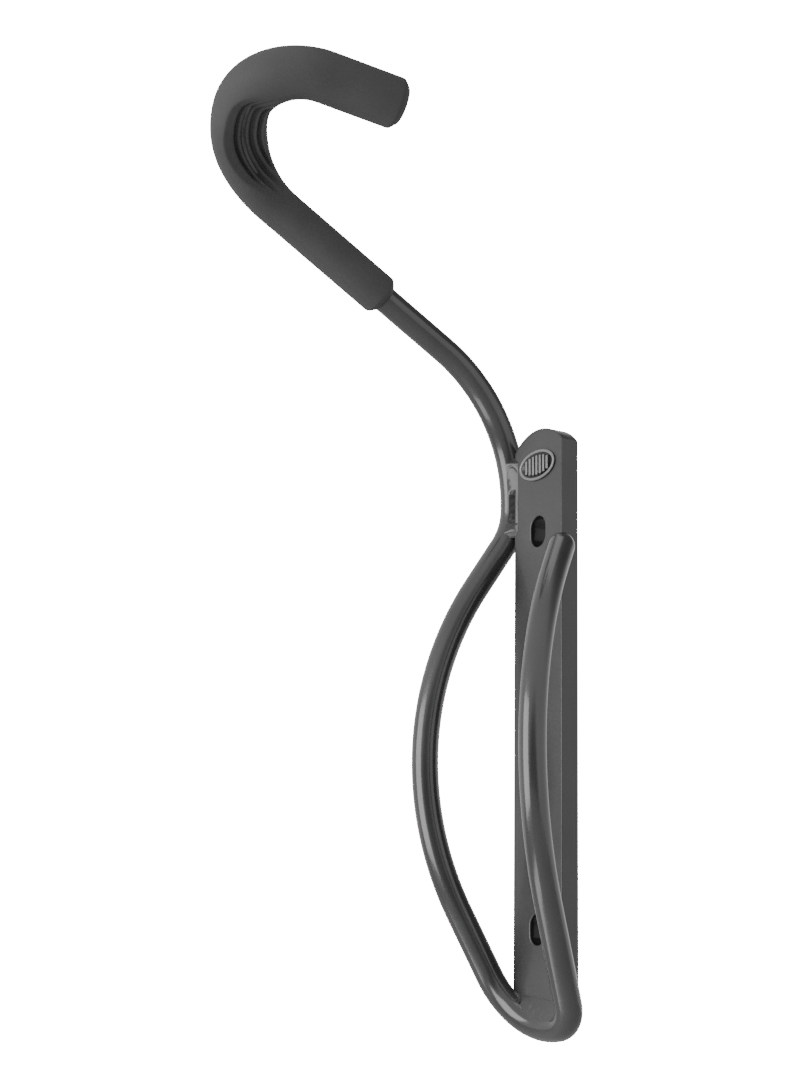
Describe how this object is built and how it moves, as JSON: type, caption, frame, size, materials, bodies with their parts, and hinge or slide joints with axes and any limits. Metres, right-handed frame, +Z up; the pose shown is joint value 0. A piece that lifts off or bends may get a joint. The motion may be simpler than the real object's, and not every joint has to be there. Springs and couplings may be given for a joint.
{
  "type": "bicycle wall rack",
  "caption": "One bent round bar welded to a narrow wall plate: a rubber-sleeved hook holds the front wheel's rim and two bowed side rails cradle its tyre",
  "frame": {"origin": "midway between the two screw slots, on the back face of the wall plate", "axes": "+Z up along the plate, +Y into the wall, the rack stands out towards -Y, +X to the right as seen from the room"},
  "size_m": [0.083, 0.1572, 0.3537],
  "materials": {
    "coated_plate": "dark grey gloss powder coat on steel bar",
    "coated_rod": "dark grey gloss powder coat on round steel bar",
    "coated_weld": "gloss powder coat over weld beads",
    "sleeve_rubber": "matte moulded rubber",
    "badge": "coated raised oval with a brighter rim"
  },
  "bodies": {
    "root": {"wall_plate": "coated_plate", "bent_rod": "coated_rod", "rubber_sleeve": "sleeve_rubber", "oval_badge": "badge", "weld_upper_left": "coated_weld", "weld_upper_right": "coated_weld", "weld_lower_left": "coated_weld", "weld_lower_right": "coated_weld", "weld_foot": "coated_weld"}
  },
  "joints": []
}
